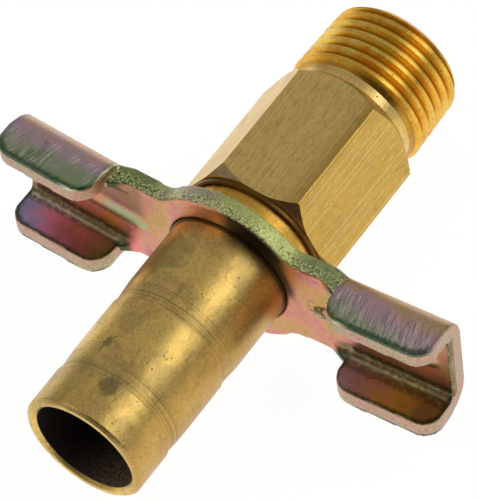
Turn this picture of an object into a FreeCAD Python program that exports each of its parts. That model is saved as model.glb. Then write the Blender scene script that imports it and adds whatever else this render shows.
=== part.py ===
import FreeCAD
import Part
import math
import os

# Drain cock with a hose end: a hexagonal body with a tapered pipe thread, a hollow screw stem that
# is its own hose nozzle, a stamped wing handle pressed on the stem, and the stem's sealing ring.
# Millimetres. The turning axis is Y: the pipe end is at y = 0 and the hose mouth points to -Y.
# X runs along the wings and Z is up when the cock lies on a bench. It is drawn closed.

# Hexagonal body
HEX_ACROSS_FLATS = 22.0
HEX_TURN_DEG = -5.8           # a corner's angle from the wings, about the axis
HEX_LENGTH = 23.15            # between the ends of its two chamfers
NEAR_CHAMFER_D = 22.3         # small end of the 45 degree chamfer at the hose side
FAR_CHAMFER_D = 20.3          # small end of the 45 degree chamfer at the pipe side
LIP_D = 21.8
LIP_LENGTH = 0.7

# Tapered pipe thread, drawn as the cone over its crests
PIPE_THREAD_D = 20.9          # at the pipe end
PIPE_THREAD_LENGTH = 12.3
PIPE_THREAD_TAPER = 1.0 / 16.0
PIPE_END_CHAMFER = 0.9
RELIEF_D = 19.4
RELIEF_WIDTH = 1.7
RELIEF_RAMP = 0.7
INLET_BORE_D = 11.0
INLET_CHAMFER = 0.5

# Screw of the stem in the body, drawn as plain cylinders at the pitch line
STEM_THREAD_D = 18.0
STEM_THREAD_PITCH = 1.5
STEM_THREAD_LENGTH = 9.0
STEM_TRAVEL = 3.0             # along the axis, from closed to open
PITCH_LINE_DEPTH = 0.3248     # from the crest to the pitch line, as a share of the pitch
THREAD_CLEARANCE = 0.15       # radial

# Neck, handle seat and hose nozzle of the stem
NECK_D = 20.4
NECK_SHOWING = 3.35           # between the handle and the body when closed
NECK_HIDDEN = 1.85            # the stretch inside the body's mouth
MOUTH_CLEARANCE = 0.2         # radial, between the neck and the body's mouth
MOUTH_END_CLEARANCE = 0.4
HANDLE_SEAT_D = 19.5
NOZZLE_ROOT_D = 19.2
NOZZLE_LENGTH = 35.45         # from the handle's front face to the mouth
BARB_D = 19.12
BARB_WAIST_D = 18.56
WAIST_TAPER_LENGTH = 4.6
END_BARB_LENGTH = 9.95
MIDDLE_BARB_LENGTH = 11.03
OUTLET_BORE_D = 15.86
OUTLET_BORE_PAST_HANDLE = 2.0  # how far the wide bore runs beyond the handle's front face
MOUTH_CHAMFER = 0.5
STEM_BORE_D = 10.0

# Seal, port and valve cone of the stem
SEAL_BORE_D = 16.2
JOURNAL_CLEARANCE = 0.1       # radial, between the stem's journal and the sealing bore
SEAL_GROOVE_D = 13.4
SEAL_GROOVE_WIDTH = 2.4
SEAL_LAND = 0.8               # metal left on each side of the seal's groove
SEAL_CLEARANCE = 0.06         # between the ring and each wall round it
SEAL_BULGE = 0.4              # how far the pressed ring's sides stand out past its flats
VALVE_HEAD_D = 13.2
PORT_NECK_LENGTH = 6.8
PORT_D = 6.0
VALVE_TIP_D = 11.4
TIP_WALL = 2.6                # solid metal behind the valve tip
DRILL_POINT_DEG = 118.0
SEAT_GAP = 0.15               # along the axis, when closed

# Wing handle, folded from sheet
SHEET = 3.0
RING_D = 26.76
ARM_WIDTH = 16.5
ARM_FILLET = 4.0
WING_HALF_SPAN = 36.5
ARM_SHOWING = 6.1             # from the ring's rim to the inner end of each folded wing
WING_HEIGHT = 20.0            # over the two flanges
FLANGE_DEPTH = 6.2            # from the handle's front face to the flanges' free edges
FOLD_INNER_RADIUS = 1.5
CURL_LENGTH = 3.0             # along each arm, where its edges curl up into the wing's folds
CURL_RUN_OUT = 0.1            # how far the curl clears the arm's flat corners at its start
FLANGE_INNER_CORNER = 3.5
FLANGE_OUTER_CORNER = 3.0
SWEEP_DEG = 3.05              # the arms lean toward the body
SWEEP_START = 8.8
BEAD_LEAD = 3.9               # how far before the wing its bead starts
BEAD_END_LAND = 3.5           # flat sheet left past the bead at the wing's outer end
BEAD_WIDTH = 3.2
BEAD_HEIGHT = 0.5
BEAD_RUN_OUT = 1.4            # along the arm, where the bead sinks into the sheet at each end

# Stations along the axis, from the pipe end to the hose mouth
RELIEF_START = -PIPE_THREAD_LENGTH
HEX_FAR = RELIEF_START - RELIEF_WIDTH
HEX_NEAR = HEX_FAR - HEX_LENGTH
BODY_MOUTH = HEX_NEAR - LIP_LENGTH
HANDLE_BACK = BODY_MOUTH - NECK_SHOWING
HANDLE_FRONT = HANDLE_BACK - SHEET
HOSE_MOUTH = HANDLE_FRONT - NOZZLE_LENGTH
NECK_END = BODY_MOUTH + NECK_HIDDEN
STEM_THREAD_END = NECK_END + STEM_THREAD_LENGTH
JOURNAL_END = STEM_THREAD_END + STEM_TRAVEL + SEAL_GROOVE_WIDTH + 2.0 * SEAL_LAND
VALVE_CONE_START = JOURNAL_END + PORT_NECK_LENGTH
VALVE_TIP = VALVE_CONE_START + (VALVE_HEAD_D - VALVE_TIP_D) / 2.0
SEAT_START = VALVE_CONE_START - (SEAL_BORE_D - VALVE_HEAD_D) / 2.0 + SEAT_GAP
SEAT_END = SEAT_START + (SEAL_BORE_D - INLET_BORE_D) / 2.0
SEAL_CENTRE = JOURNAL_END - SEAL_LAND - SEAL_GROOVE_WIDTH / 2.0

WING_START = RING_D / 2.0 + ARM_SHOWING
CURL_START = WING_START - CURL_LENGTH
BEAD_START = WING_START - BEAD_LEAD
BEAD_END = WING_HALF_SPAN - BEAD_END_LAND
FOLD_CENTRE_Z = WING_HEIGHT / 2.0 - SHEET - FOLD_INNER_RADIUS
HEX_CORNER_R = HEX_ACROSS_FLATS / math.sqrt(3.0)
PITCH_LINE_R = STEM_THREAD_D / 2.0 - PITCH_LINE_DEPTH * STEM_THREAD_PITCH
OVERSHOOT = 1.0               # how far a cutter passes the metal it removes
RIM_TOLERANCE = 0.001         # how near the ring's rim an edge lies that counts as on it

AXIS = FreeCAD.Vector(0, 1, 0)
ORIGIN = FreeCAD.Vector(0, 0, 0)


def turned(outline):
    """Solid of revolution about Y from (radius, y) points."""
    points = [FreeCAD.Vector(radius, y, 0) for radius, y in outline]
    face = Part.Face(Part.makePolygon(points + points[:1]))
    return face.revolve(ORIGIN, AXIS, 360)


def rod(radius, start, end):
    """Plain cylinder along Y between two stations."""
    return Part.makeCylinder(radius, end - start, FreeCAD.Vector(0, start, 0), AXIS)


def fillet_where(shape, radius, is_wanted):
    """Rounds the edges whose centre passes the test."""
    edges = [edge for edge in shape.Edges if is_wanted(edge)]
    return shape.makeFillet(radius, edges)


def runs_along(edge, direction):
    """True for a straight edge parallel to a direction."""
    if not isinstance(edge.Curve, Part.Line):
        return False
    return abs(edge.Curve.Direction.dot(direction)) > 0.999


def make_body():
    """Hex bar turned at both ends, with the pipe thread's cone and the stepped bore for the stem."""
    near_r = NEAR_CHAMFER_D / 2.0
    far_r = FAR_CHAMFER_D / 2.0
    lip_r = LIP_D / 2.0
    relief_r = RELIEF_D / 2.0
    blank_r = HEX_CORNER_R + OVERSHOOT
    pipe_end_r = PIPE_THREAD_D / 2.0
    thread_start_y = RELIEF_START + RELIEF_RAMP
    thread_start_r = pipe_end_r - thread_start_y * PIPE_THREAD_TAPER / 2.0
    chamfer_r = pipe_end_r + PIPE_END_CHAMFER * PIPE_THREAD_TAPER / 2.0
    blank = turned([
        (0, BODY_MOUTH),
        (lip_r, BODY_MOUTH),
        (lip_r, HEX_NEAR),
        (near_r, HEX_NEAR),
        (blank_r, HEX_NEAR + blank_r - near_r),
        (blank_r, HEX_FAR - blank_r + far_r),
        (far_r, HEX_FAR),
        (relief_r, HEX_FAR),
        (relief_r, RELIEF_START),
        (thread_start_r, thread_start_y),
        (chamfer_r, -PIPE_END_CHAMFER),
        (chamfer_r - PIPE_END_CHAMFER, 0),
        (0, 0),
    ])
    corners = []
    for number in range(7):
        angle = math.radians(HEX_TURN_DEG + 60.0 * number)
        corner = FreeCAD.Vector(math.cos(angle), 0, math.sin(angle)) * HEX_CORNER_R
        corners.append(corner + AXIS * BODY_MOUTH)
    bar = Part.Face(Part.makePolygon(corners)).extrude(FreeCAD.Vector(0, -BODY_MOUTH, 0))
    mouth_r = NECK_D / 2.0 + MOUTH_CLEARANCE
    thread_r = PITCH_LINE_R + THREAD_CLEARANCE / 2.0
    seal_r = SEAL_BORE_D / 2.0
    inlet_r = INLET_BORE_D / 2.0
    mouth_floor = NECK_END + MOUTH_END_CLEARANCE
    bore = turned([
        (0, BODY_MOUTH - OVERSHOOT),
        (mouth_r, BODY_MOUTH - OVERSHOOT),
        (mouth_r, mouth_floor),
        (thread_r, mouth_floor),
        (thread_r, STEM_THREAD_END),
        (seal_r, STEM_THREAD_END),
        (seal_r, SEAT_START),
        (inlet_r, SEAT_END),
        (inlet_r, -INLET_CHAMFER),
        (inlet_r + INLET_CHAMFER + OVERSHOOT, OVERSHOOT),
        (0, OVERSHOOT),
    ])
    return blank.common(bar).cut(bore)


def make_stem():
    """Hollow screw stem: hose nozzle, handle seat, neck, screw, seal journal and valve cone."""
    seat_r = HANDLE_SEAT_D / 2.0
    neck_r = NECK_D / 2.0
    thread_r = PITCH_LINE_R - THREAD_CLEARANCE / 2.0
    journal_r = SEAL_BORE_D / 2.0 - JOURNAL_CLEARANCE
    groove_r = SEAL_GROOVE_D / 2.0
    head_r = VALVE_HEAD_D / 2.0
    barb_r = BARB_D / 2.0
    waist_r = BARB_WAIST_D / 2.0
    root_r = NOZZLE_ROOT_D / 2.0
    end_shoulder = HOSE_MOUTH + END_BARB_LENGTH
    middle_shoulder = end_shoulder + MIDDLE_BARB_LENGTH
    groove_start = SEAL_CENTRE - SEAL_GROOVE_WIDTH / 2.0
    groove_end = SEAL_CENTRE + SEAL_GROOVE_WIDTH / 2.0
    # A waist tapers down toward each shoulder, which then steps out sharply to hold the hose.
    stem = turned([
        (0, HOSE_MOUTH),
        (barb_r - MOUTH_CHAMFER, HOSE_MOUTH),
        (barb_r, HOSE_MOUTH + MOUTH_CHAMFER),
        (barb_r, end_shoulder),
        (waist_r, end_shoulder),
        (barb_r, end_shoulder + WAIST_TAPER_LENGTH),
        (barb_r, middle_shoulder),
        (waist_r, middle_shoulder),
        (root_r, middle_shoulder + WAIST_TAPER_LENGTH),
        (root_r, HANDLE_FRONT),
        (seat_r, HANDLE_FRONT),
        (seat_r, HANDLE_BACK),
        (neck_r, HANDLE_BACK),
        (neck_r, NECK_END),
        (thread_r, NECK_END),
        (thread_r, STEM_THREAD_END),
        (journal_r, STEM_THREAD_END),
        (journal_r, groove_start),
        (groove_r, groove_start),
        (groove_r, groove_end),
        (journal_r, groove_end),
        (journal_r, JOURNAL_END),
        (head_r, JOURNAL_END),
        (head_r, VALVE_CONE_START),
        (VALVE_TIP_D / 2.0, VALVE_TIP),
        (0, VALVE_TIP),
    ])
    outlet_r = OUTLET_BORE_D / 2.0
    bore_r = STEM_BORE_D / 2.0
    step_y = HANDLE_FRONT + OUTLET_BORE_PAST_HANDLE
    drill_slope = math.tan(math.radians(DRILL_POINT_DEG / 2.0))
    bore_point = VALVE_TIP - TIP_WALL
    stem = stem.cut(turned([
        (0, HOSE_MOUTH - OVERSHOOT),
        (outlet_r + MOUTH_CHAMFER + OVERSHOOT, HOSE_MOUTH - OVERSHOOT),
        (outlet_r, HOSE_MOUTH + MOUTH_CHAMFER),
        (outlet_r, step_y),
        (bore_r, step_y + (outlet_r - bore_r) / drill_slope),
        (bore_r, bore_point - bore_r / drill_slope),
        (0, bore_point),
    ]))
    port_start = FreeCAD.Vector(-VALVE_HEAD_D, JOURNAL_END + PORT_NECK_LENGTH / 2.0, 0)
    port = Part.makeCylinder(PORT_D / 2.0, 2.0 * VALVE_HEAD_D, port_start, FreeCAD.Vector(1, 0, 0))
    return stem.cut(port)


def make_stem_seal():
    """Sealing ring, pressed flat against its groove and the bore, with bulging sides."""
    inner_r = SEAL_GROOVE_D / 2.0 + SEAL_CLEARANCE
    outer_r = SEAL_BORE_D / 2.0 - SEAL_CLEARANCE
    half_width = SEAL_GROOVE_WIDTH / 2.0 - SEAL_CLEARANCE
    half_flat = half_width - SEAL_BULGE
    middle_r = (inner_r + outer_r) / 2.0
    return turned([
        (inner_r, SEAL_CENTRE - half_flat),
        (middle_r, SEAL_CENTRE - half_width),
        (outer_r, SEAL_CENTRE - half_flat),
        (outer_r, SEAL_CENTRE + half_flat),
        (middle_r, SEAL_CENTRE + half_width),
        (inner_r, SEAL_CENTRE + half_flat),
    ])


def flat_blank():
    """Ring with two arms, flat, its front face at y = 0."""
    up = FreeCAD.Vector(0, 1, 0)
    ring = Part.makeCylinder(RING_D / 2.0, SHEET, ORIGIN, up)
    corner = FreeCAD.Vector(-CURL_START, 0, -ARM_WIDTH / 2.0)
    blank = ring.fuse(Part.makeBox(2.0 * CURL_START, SHEET, ARM_WIDTH, corner)).removeSplitter()

    def is_on_rim(edge):
        from_axis = math.hypot(edge.CenterOfMass.x, edge.CenterOfMass.z)
        return runs_along(edge, up) and math.isclose(from_axis, RING_D / 2.0, abs_tol=RIM_TOLERANCE)

    return fillet_where(blank, ARM_FILLET, is_on_rim)


def curled_edge(side):
    """Edge zone of the +X arm beside the wing, where the sheet starts to rise into a fold."""
    half_width = ARM_WIDTH / 2.0
    outer_radius = FOLD_INNER_RADIUS + SHEET
    profile = Part.makePolygon([
        FreeCAD.Vector(CURL_START, 0, FOLD_CENTRE_Z),
        FreeCAD.Vector(WING_START, -FOLD_INNER_RADIUS, FOLD_CENTRE_Z),
        FreeCAD.Vector(WING_START, SHEET, FOLD_CENTRE_Z),
        FreeCAD.Vector(CURL_START, SHEET, FOLD_CENTRE_Z),
        FreeCAD.Vector(CURL_START, 0, FOLD_CENTRE_Z),
    ])
    zone = Part.Face(profile).extrude(FreeCAD.Vector(0, 0, half_width - FOLD_CENTRE_Z))
    along = FreeCAD.Vector(1, 0, 0)
    fold = FreeCAD.Vector(CURL_START, -FOLD_INNER_RADIUS, FOLD_CENTRE_Z)
    corner_radius = math.hypot(outer_radius, half_width - FOLD_CENTRE_Z) + CURL_RUN_OUT
    zone = zone.common(Part.makeCone(corner_radius, outer_radius, CURL_LENGTH, fold, along))
    zone = zone.cut(Part.makeCylinder(FOLD_INNER_RADIUS, CURL_LENGTH, fold, along))
    return zone if side > 0 else zone.mirror(ORIGIN, FreeCAD.Vector(0, 0, 1))


def folded_wing():
    """Channel-shaped wing on +X, straight, its web's front face at y = 0."""
    length = WING_HALF_SPAN - WING_START
    outer_radius = FOLD_INNER_RADIUS + SHEET
    along = FreeCAD.Vector(1, 0, 0)
    across = FreeCAD.Vector(0, 0, 1)
    depth = FLANGE_DEPTH + SHEET
    low = FreeCAD.Vector(WING_START, -FLANGE_DEPTH, -WING_HEIGHT / 2.0)
    block = Part.makeBox(length, depth, WING_HEIGHT, low)
    block = fillet_where(
        block, outer_radius, lambda edge: runs_along(edge, along) and edge.CenterOfMass.y > 0)
    hollow = Part.makeBox(
        length + 2.0 * OVERSHOOT, depth, WING_HEIGHT - 2.0 * SHEET,
        FreeCAD.Vector(WING_START - OVERSHOOT, -depth, -WING_HEIGHT / 2.0 + SHEET))
    hollow = fillet_where(
        hollow, FOLD_INNER_RADIUS,
        lambda edge: runs_along(edge, along) and edge.CenterOfMass.y > -OVERSHOOT)
    trim = Part.makeBox(length, depth, WING_HEIGHT, low)
    middle_x = WING_START + length / 2.0

    def is_free_corner(edge, side):
        beside = (edge.CenterOfMass.x - middle_x) * side > 0
        return beside and runs_along(edge, across) and edge.CenterOfMass.y < 0

    trim = fillet_where(trim, FLANGE_INNER_CORNER, lambda edge: is_free_corner(edge, -1))
    trim = fillet_where(trim, FLANGE_OUTER_CORNER, lambda edge: is_free_corner(edge, 1))
    return block.cut(hollow).common(trim)


def bead(face_y):
    """Bead that stands BEAD_HEIGHT out of a face, toward -Y, and runs out at both ends."""
    radius = (BEAD_WIDTH ** 2 / 4.0 + BEAD_HEIGHT ** 2) / (2.0 * BEAD_HEIGHT)
    centre_y = face_y - BEAD_HEIGHT + radius
    start = FreeCAD.Vector(BEAD_START, centre_y, 0)
    end = FreeCAD.Vector(BEAD_END, centre_y, 0)
    along = FreeCAD.Vector(1, 0, 0)
    point_length = BEAD_RUN_OUT * radius / BEAD_HEIGHT
    shape = Part.makeCylinder(radius, BEAD_END - BEAD_START, start, along).fuse([
        Part.makeCone(radius, 0, point_length, start, -along),
        Part.makeCone(radius, 0, point_length, end, along),
    ])
    low = FreeCAD.Vector(BEAD_START - point_length, face_y - radius, -radius)
    length = BEAD_END - BEAD_START + 2.0 * point_length
    return shape.common(Part.makeBox(length, radius, 2.0 * radius, low))


def make_wing_handle():
    """Flat ring with two swept arms, each ending in a folded wing with a pressed bead."""
    blank = flat_blank()
    far = 2.0 * WING_HALF_SPAN
    middle = blank.common(Part.makeBox(
        2.0 * SWEEP_START, far, far, FreeCAD.Vector(-SWEEP_START, -SHEET, -far / 2.0)))
    arm = blank.common(Part.makeBox(far, far, far, FreeCAD.Vector(SWEEP_START, -SHEET, -far / 2.0)))
    web = Part.makeBox(
        CURL_LENGTH, SHEET, 2.0 * FOLD_CENTRE_Z, FreeCAD.Vector(CURL_START, 0, -FOLD_CENTRE_Z))
    arm = arm.fuse([web, curled_edge(1), curled_edge(-1), folded_wing()])
    arm = arm.fuse(bead(0.0)).cut(bead(SHEET + BEAD_HEIGHT))
    arm.rotate(FreeCAD.Vector(SWEEP_START, 0, 0), FreeCAD.Vector(0, 0, 1), SWEEP_DEG)
    handle = middle.fuse([arm, arm.mirror(ORIGIN, FreeCAD.Vector(1, 0, 0))])
    handle = handle.cut(rod(HANDLE_SEAT_D / 2.0, -OVERSHOOT, SHEET + OVERSHOOT)).removeSplitter()
    handle.translate(FreeCAD.Vector(0, HANDLE_FRONT, 0))
    return handle


def export(name, shape):
    """Writes one node after a test that it is a single sound solid."""
    assert shape.isValid() and len(shape.Solids) == 1, name
    shape.Solids[0].exportStep("parts/" + name + ".step")
    print(name, round(shape.Volume, 1), "mm3")


os.makedirs("parts", exist_ok=True)
export("hex_body", make_body())
export("hose_stem", make_stem())
export("stem_seal", make_stem_seal())
export("wing_handle", make_wing_handle())
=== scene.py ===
"""Looks of a hose-end drain cock: turned brass, a rolled pipe thread and a plated sheet handle.

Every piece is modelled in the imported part's own frame. The turning axis is Y, the pipe end is at
y = 0 and the hose mouth points to -Y. Sizes in the classes are millimetres. Noise lies round 0.5,
so a soft step from 0.42 to 0.58 covers about half of a surface.
"""

import logging
import math
from dataclasses import dataclass
from enum import Enum
from typing import Any, Callable, Sequence

import bpy
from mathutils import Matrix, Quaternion, Vector


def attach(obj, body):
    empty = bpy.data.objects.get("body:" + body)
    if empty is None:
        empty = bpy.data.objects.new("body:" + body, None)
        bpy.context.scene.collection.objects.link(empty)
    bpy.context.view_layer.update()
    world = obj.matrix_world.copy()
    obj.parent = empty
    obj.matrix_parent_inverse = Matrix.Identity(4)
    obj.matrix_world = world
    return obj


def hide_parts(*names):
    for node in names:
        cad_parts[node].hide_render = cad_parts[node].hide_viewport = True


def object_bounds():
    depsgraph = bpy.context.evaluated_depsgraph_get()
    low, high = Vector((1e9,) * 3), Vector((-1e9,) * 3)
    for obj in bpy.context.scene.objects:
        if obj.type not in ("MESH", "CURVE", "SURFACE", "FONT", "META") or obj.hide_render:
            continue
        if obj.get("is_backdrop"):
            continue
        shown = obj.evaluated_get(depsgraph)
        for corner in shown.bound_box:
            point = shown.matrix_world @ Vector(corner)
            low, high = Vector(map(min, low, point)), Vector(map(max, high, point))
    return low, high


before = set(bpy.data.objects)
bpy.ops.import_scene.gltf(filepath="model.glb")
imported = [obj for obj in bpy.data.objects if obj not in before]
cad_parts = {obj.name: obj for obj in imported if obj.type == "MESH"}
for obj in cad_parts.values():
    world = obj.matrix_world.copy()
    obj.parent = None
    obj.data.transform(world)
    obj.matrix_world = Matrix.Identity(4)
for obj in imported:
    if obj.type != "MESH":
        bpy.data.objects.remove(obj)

LOG = logging.getLogger("drain_cock")
MM = 0.001
FULL_TURN = 2.0 * math.pi
MERGE_DISTANCE = 0.002 * MM
CREASE_DEG = 28.0
HEX_SIDES = 6

# The handle's sheet: its front face, its thickness, and how its arms lean toward the body
SHEET_FRONT = -44.2
SHEET_THICKNESS = 3.0
LEAN_START = 8.8
LEAN = math.tan(math.radians(3.05))

Object = bpy.types.Object
Triple = tuple[float, float, float]
Colour = Triple
Film = tuple[tuple[float, Colour], ...]
Size = float | Triple
Point = tuple[float, float]

WHITE = (1.0, 1.0, 1.0)
PIT_BLACK = (0.03, 0.03, 0.015)


class Node(Enum):
    """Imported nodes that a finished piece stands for, with their body and material slot."""

    HEX_BODY = ("hex_body", "body", "body_brass")
    HOSE_STEM = ("hose_stem", "stem", "stem_brass")
    WING_HANDLE = ("wing_handle", "stem", "plated_steel")


class Grain(Enum):
    """Tool marks: their size along each axis, their octaves and how strong the fine ones are."""

    DRAWN = ((0.28, 70.0, 0.28), 4.0, 0.7)
    TURNED = ((26.0, 0.20, 26.0), 3.0, 0.6)


class Measure(Enum):
    """What bounds a zone: the direction of a line, or a distance."""

    X = (1.0, 0.0, 0.0)
    Y = (0.0, 1.0, 0.0)
    Z = (0.0, 0.0, 1.0)
    SLANT = (0.5, 0.0, 0.87)
    SIDE = "x without its sign"
    LIFT = "z without its sign"
    RADIUS = "distance from the axis"


X, Y, Z, SLANT, SIDE, LIFT, RADIUS = Measure
Zone = tuple[tuple[Measure, float, float], ...]


class Value:
    """An output socket that takes part in arithmetic, adding Math nodes."""

    def __init__(self, recipe: "Recipe", socket: bpy.types.NodeSocket) -> None:
        """Keeps the socket and the recipe that it belongs to."""
        self.recipe = recipe
        self.socket = socket

    def math(self, operation: str, *terms: Any) -> "Value":
        """Adds one Math node, with all of its inputs in order."""
        return self.recipe.add("ShaderNodeMath", {"operation": operation}, dict(enumerate(terms)))

    def __add__(self, other: Any) -> "Value":
        """Sum."""
        return self.math("ADD", self, other)

    def __sub__(self, other: Any) -> "Value":
        """Difference."""
        return self.math("SUBTRACT", self, other)

    def __rsub__(self, other: Any) -> "Value":
        """Difference from a number on the left."""
        return self.math("SUBTRACT", other, self)

    def __mul__(self, other: Any) -> "Value":
        """Product."""
        return self.math("MULTIPLY", self, other)

    __radd__ = __add__
    __rmul__ = __mul__

    def __abs__(self) -> "Value":
        """Size without its sign."""
        return self.math("ABSOLUTE", self)

    def root(self) -> "Value":
        """Square root."""
        return self.math("SQRT", self)

    def at_least(self, low: Any) -> "Value":
        """The value, or another where that is higher."""
        return self.math("MAXIMUM", self, low)

    def between(self, low: float, high: float) -> "Value":
        """Soft step from 0 at one value to 1 at another, above or below it."""
        inputs = {"Value": self, "From Min": low, "From Max": high}
        return self.recipe.add("ShaderNodeMapRange", {"interpolation_type": "SMOOTHSTEP"}, inputs)


class Recipe:
    """A node tree and the steps that fill it."""

    def __init__(self, tree: bpy.types.NodeTree) -> None:
        """Keeps the tree."""
        self.tree = tree

    def add(self, kind: str, settings: dict[str, Any] | None = None,
            inputs: dict[Any, Any] | None = None, output: Any = 0) -> Value:
        """Adds one node.

        Args:
            kind: The node's type.
            settings: Its properties.
            inputs: Values or links of its sockets, by name or number.
            output: Name or number of the output that is wanted.

        Returns:
            That output.
        """
        node = self.tree.nodes.new(kind)
        for key, value in (settings or {}).items():
            setattr(node, key, value)
        for key, value in (inputs or {}).items():
            self.feed(node.inputs[key], value)
        return Value(self, node.outputs[output])

    def feed(self, socket: bpy.types.NodeSocket, value: Any) -> None:
        """Links or sets an input.

        Args:
            socket: The input.
            value: A value to link, or a number, vector or colour to set.
        """
        if isinstance(value, Value):
            self.tree.links.new(value.socket, socket)
        else:
            socket.default_value = (*value, 1.0) if socket.type == "RGBA" else value


class Paint(Recipe):
    """Recipe of one finish, round a metal or plain shader."""

    def __init__(self, name: str) -> None:
        """Starts a material with its shader.

        Args:
            name: The material's name.
        """
        self.material = bpy.data.materials.new(name)
        self.material.use_nodes = True
        super().__init__(self.material.node_tree)
        self.shader = self.tree.nodes["Principled BSDF"]

    def set(self, **inputs: Any) -> None:
        """Feeds the shader's sockets, named with underscores for spaces."""
        for key, value in inputs.items():
            self.feed(self.shader.inputs[key.replace("_", " ")], value)

    def place(self) -> Value:
        """The point on the piece, in its own frame."""
        return self.add("ShaderNodeTexCoord", output="Object")

    def measure(self, kind: Measure) -> Value:
        """One measure of the point, in millimetres.

        Args:
            kind: The measure.

        Returns:
            Its value.
        """
        if kind is RADIUS:
            x, z = map(self.measure, (X, Z))
            return (x * x + z * z).root()
        if kind in (SIDE, LIFT):
            return abs(self.measure(X if kind is SIDE else Z))
        inputs = {0: self.place(), 1: kind.value}
        along = self.add("ShaderNodeVectorMath", {"operation": "DOT_PRODUCT"}, inputs, "Value")
        return along * (1.0 / MM)

    def zone(self, zone: Zone) -> Value:
        """Soft-edged place on the piece.

        Args:
            zone: Its bounds, each a measure, where the share is 0 and where it is 1.

        Returns:
            1 in the zone and 0 outside it.
        """
        share: Any = 1.0
        for kind, low, high in zone:
            share = share * self.measure(kind).between(low, high)
        return share

    def spread(self, size: Size, shift: float, place: Value | None = None) -> Value:
        """Coordinates for a texture.

        Args:
            size: Size of its features in millimetres, alike or along each axis.
            shift: Moves the pattern, in features.
            place: Where it is read, if not at the point on the piece.

        Returns:
            The coordinates, counted in features.
        """
        sizes = size if isinstance(size, tuple) else (size,) * 3
        return self.add("ShaderNodeMapping", inputs={
            "Vector": place or self.place(), "Location": (shift,) * 3,
            "Scale": tuple(1.0 / (part * MM) for part in sizes)})

    def noise(self, size: Size, detail: float = 3.0, roughness: float = 0.55,
              distortion: float = 0.0, shift: float = 0.0, place: Value | None = None) -> Value:
        """Soft noise.

        Args:
            size: Size of its features in millimetres, alike or along each axis.
            detail: Its octaves.
            roughness: How strong the fine octaves are.
            distortion: How far it is swirled.
            shift: Moves the pattern, so that two of a size differ.
            place: Where it is read, if not at the point on the piece.

        Returns:
            A value round 0.5.
        """
        return self.add("ShaderNodeTexNoise", inputs={
            "Vector": self.spread(size, shift, place), "Scale": 1.0, "Detail": detail,
            "Roughness": roughness, "Distortion": distortion})

    def specks(self, spacing: float, radius: float, shift: float = 0.0) -> Value:
        """Small round spots, one to a cell of a spacing, with a radius as a share of the cell."""
        inputs = {"Vector": self.spread(spacing, shift), "Scale": 1.0}
        return self.add("ShaderNodeTexVoronoi", inputs=inputs).between(radius, radius * 0.4)

    def ramp(self, value: Value, stops: Film) -> Value:
        """Colour by a ramp.

        Args:
            value: Place on the ramp.
            stops: Its places and colours, in rising order.

        Returns:
            The colour.
        """
        colour = self.add("ShaderNodeValToRGB", inputs={0: value})
        elements = colour.socket.node.color_ramp.elements
        while len(elements) < len(stops):
            elements.new(1.0)
        for element, (place, shade) in zip(elements, stops):
            element.position = place
            element.color = (*shade, 1.0)
        return colour

    def mix(self, share: Any, first: Any, second: Any) -> Value:
        """Colour between two, by the share of the second."""
        return self.add("ShaderNodeMix", {"data_type": "RGBA"}, {0: share, 6: first, 7: second}, 2)

    def layers(self, colour: Value, *layers: tuple[Any, Any]) -> Value:
        """Lays colours over one another.

        Args:
            colour: The ground.
            layers: The share and the colour of each, with the lowest first.

        Returns:
            The mixed colour.
        """
        for share, over in layers:
            colour = self.mix(share, colour, over)
        return colour

    def bump(self, height: Value, depth: float) -> None:
        """Bends the shader's normal by a height, of which 1 is a depth in millimetres."""
        bumped = self.add("ShaderNodeBump", inputs={"Height": height, "Distance": depth * MM})
        self.set(Normal=bumped)


@dataclass(frozen=True)
class Finish:
    """A look that is made into a material when a piece is dressed."""

    name: str

    def material(self) -> bpy.types.Material:
        """Makes the material.

        Returns:
            The material.
        """
        paint = Paint(self.name)
        self.fill(paint)
        return paint.material

    def fill(self, paint: Paint) -> None:
        """Adds the look to a recipe."""
        raise NotImplementedError


@dataclass(frozen=True)
class Smudge:
    """A ragged round smudge."""

    centre: Triple
    radius: float
    share: float
    raggedness: float = 4.0
    ragged_size: float = 1.6
    core: float = 0.6

    def cover(self, paint: Paint) -> Value:
        """Share of the smudge's colour at a point.

        Args:
            paint: The recipe to add it to.

        Returns:
            The share.
        """
        inputs = {0: paint.place(), 1: tuple(part * MM for part in self.centre)}
        away = paint.add("ShaderNodeVectorMath", {"operation": "DISTANCE"}, inputs, "Value")
        noise = paint.noise(self.ragged_size, detail=4.0, shift=self.radius)
        ragged = away * (1.0 / MM) + (noise - 0.5) * self.raggedness
        return ragged.between(self.radius, self.radius * self.core) * self.share


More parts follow.
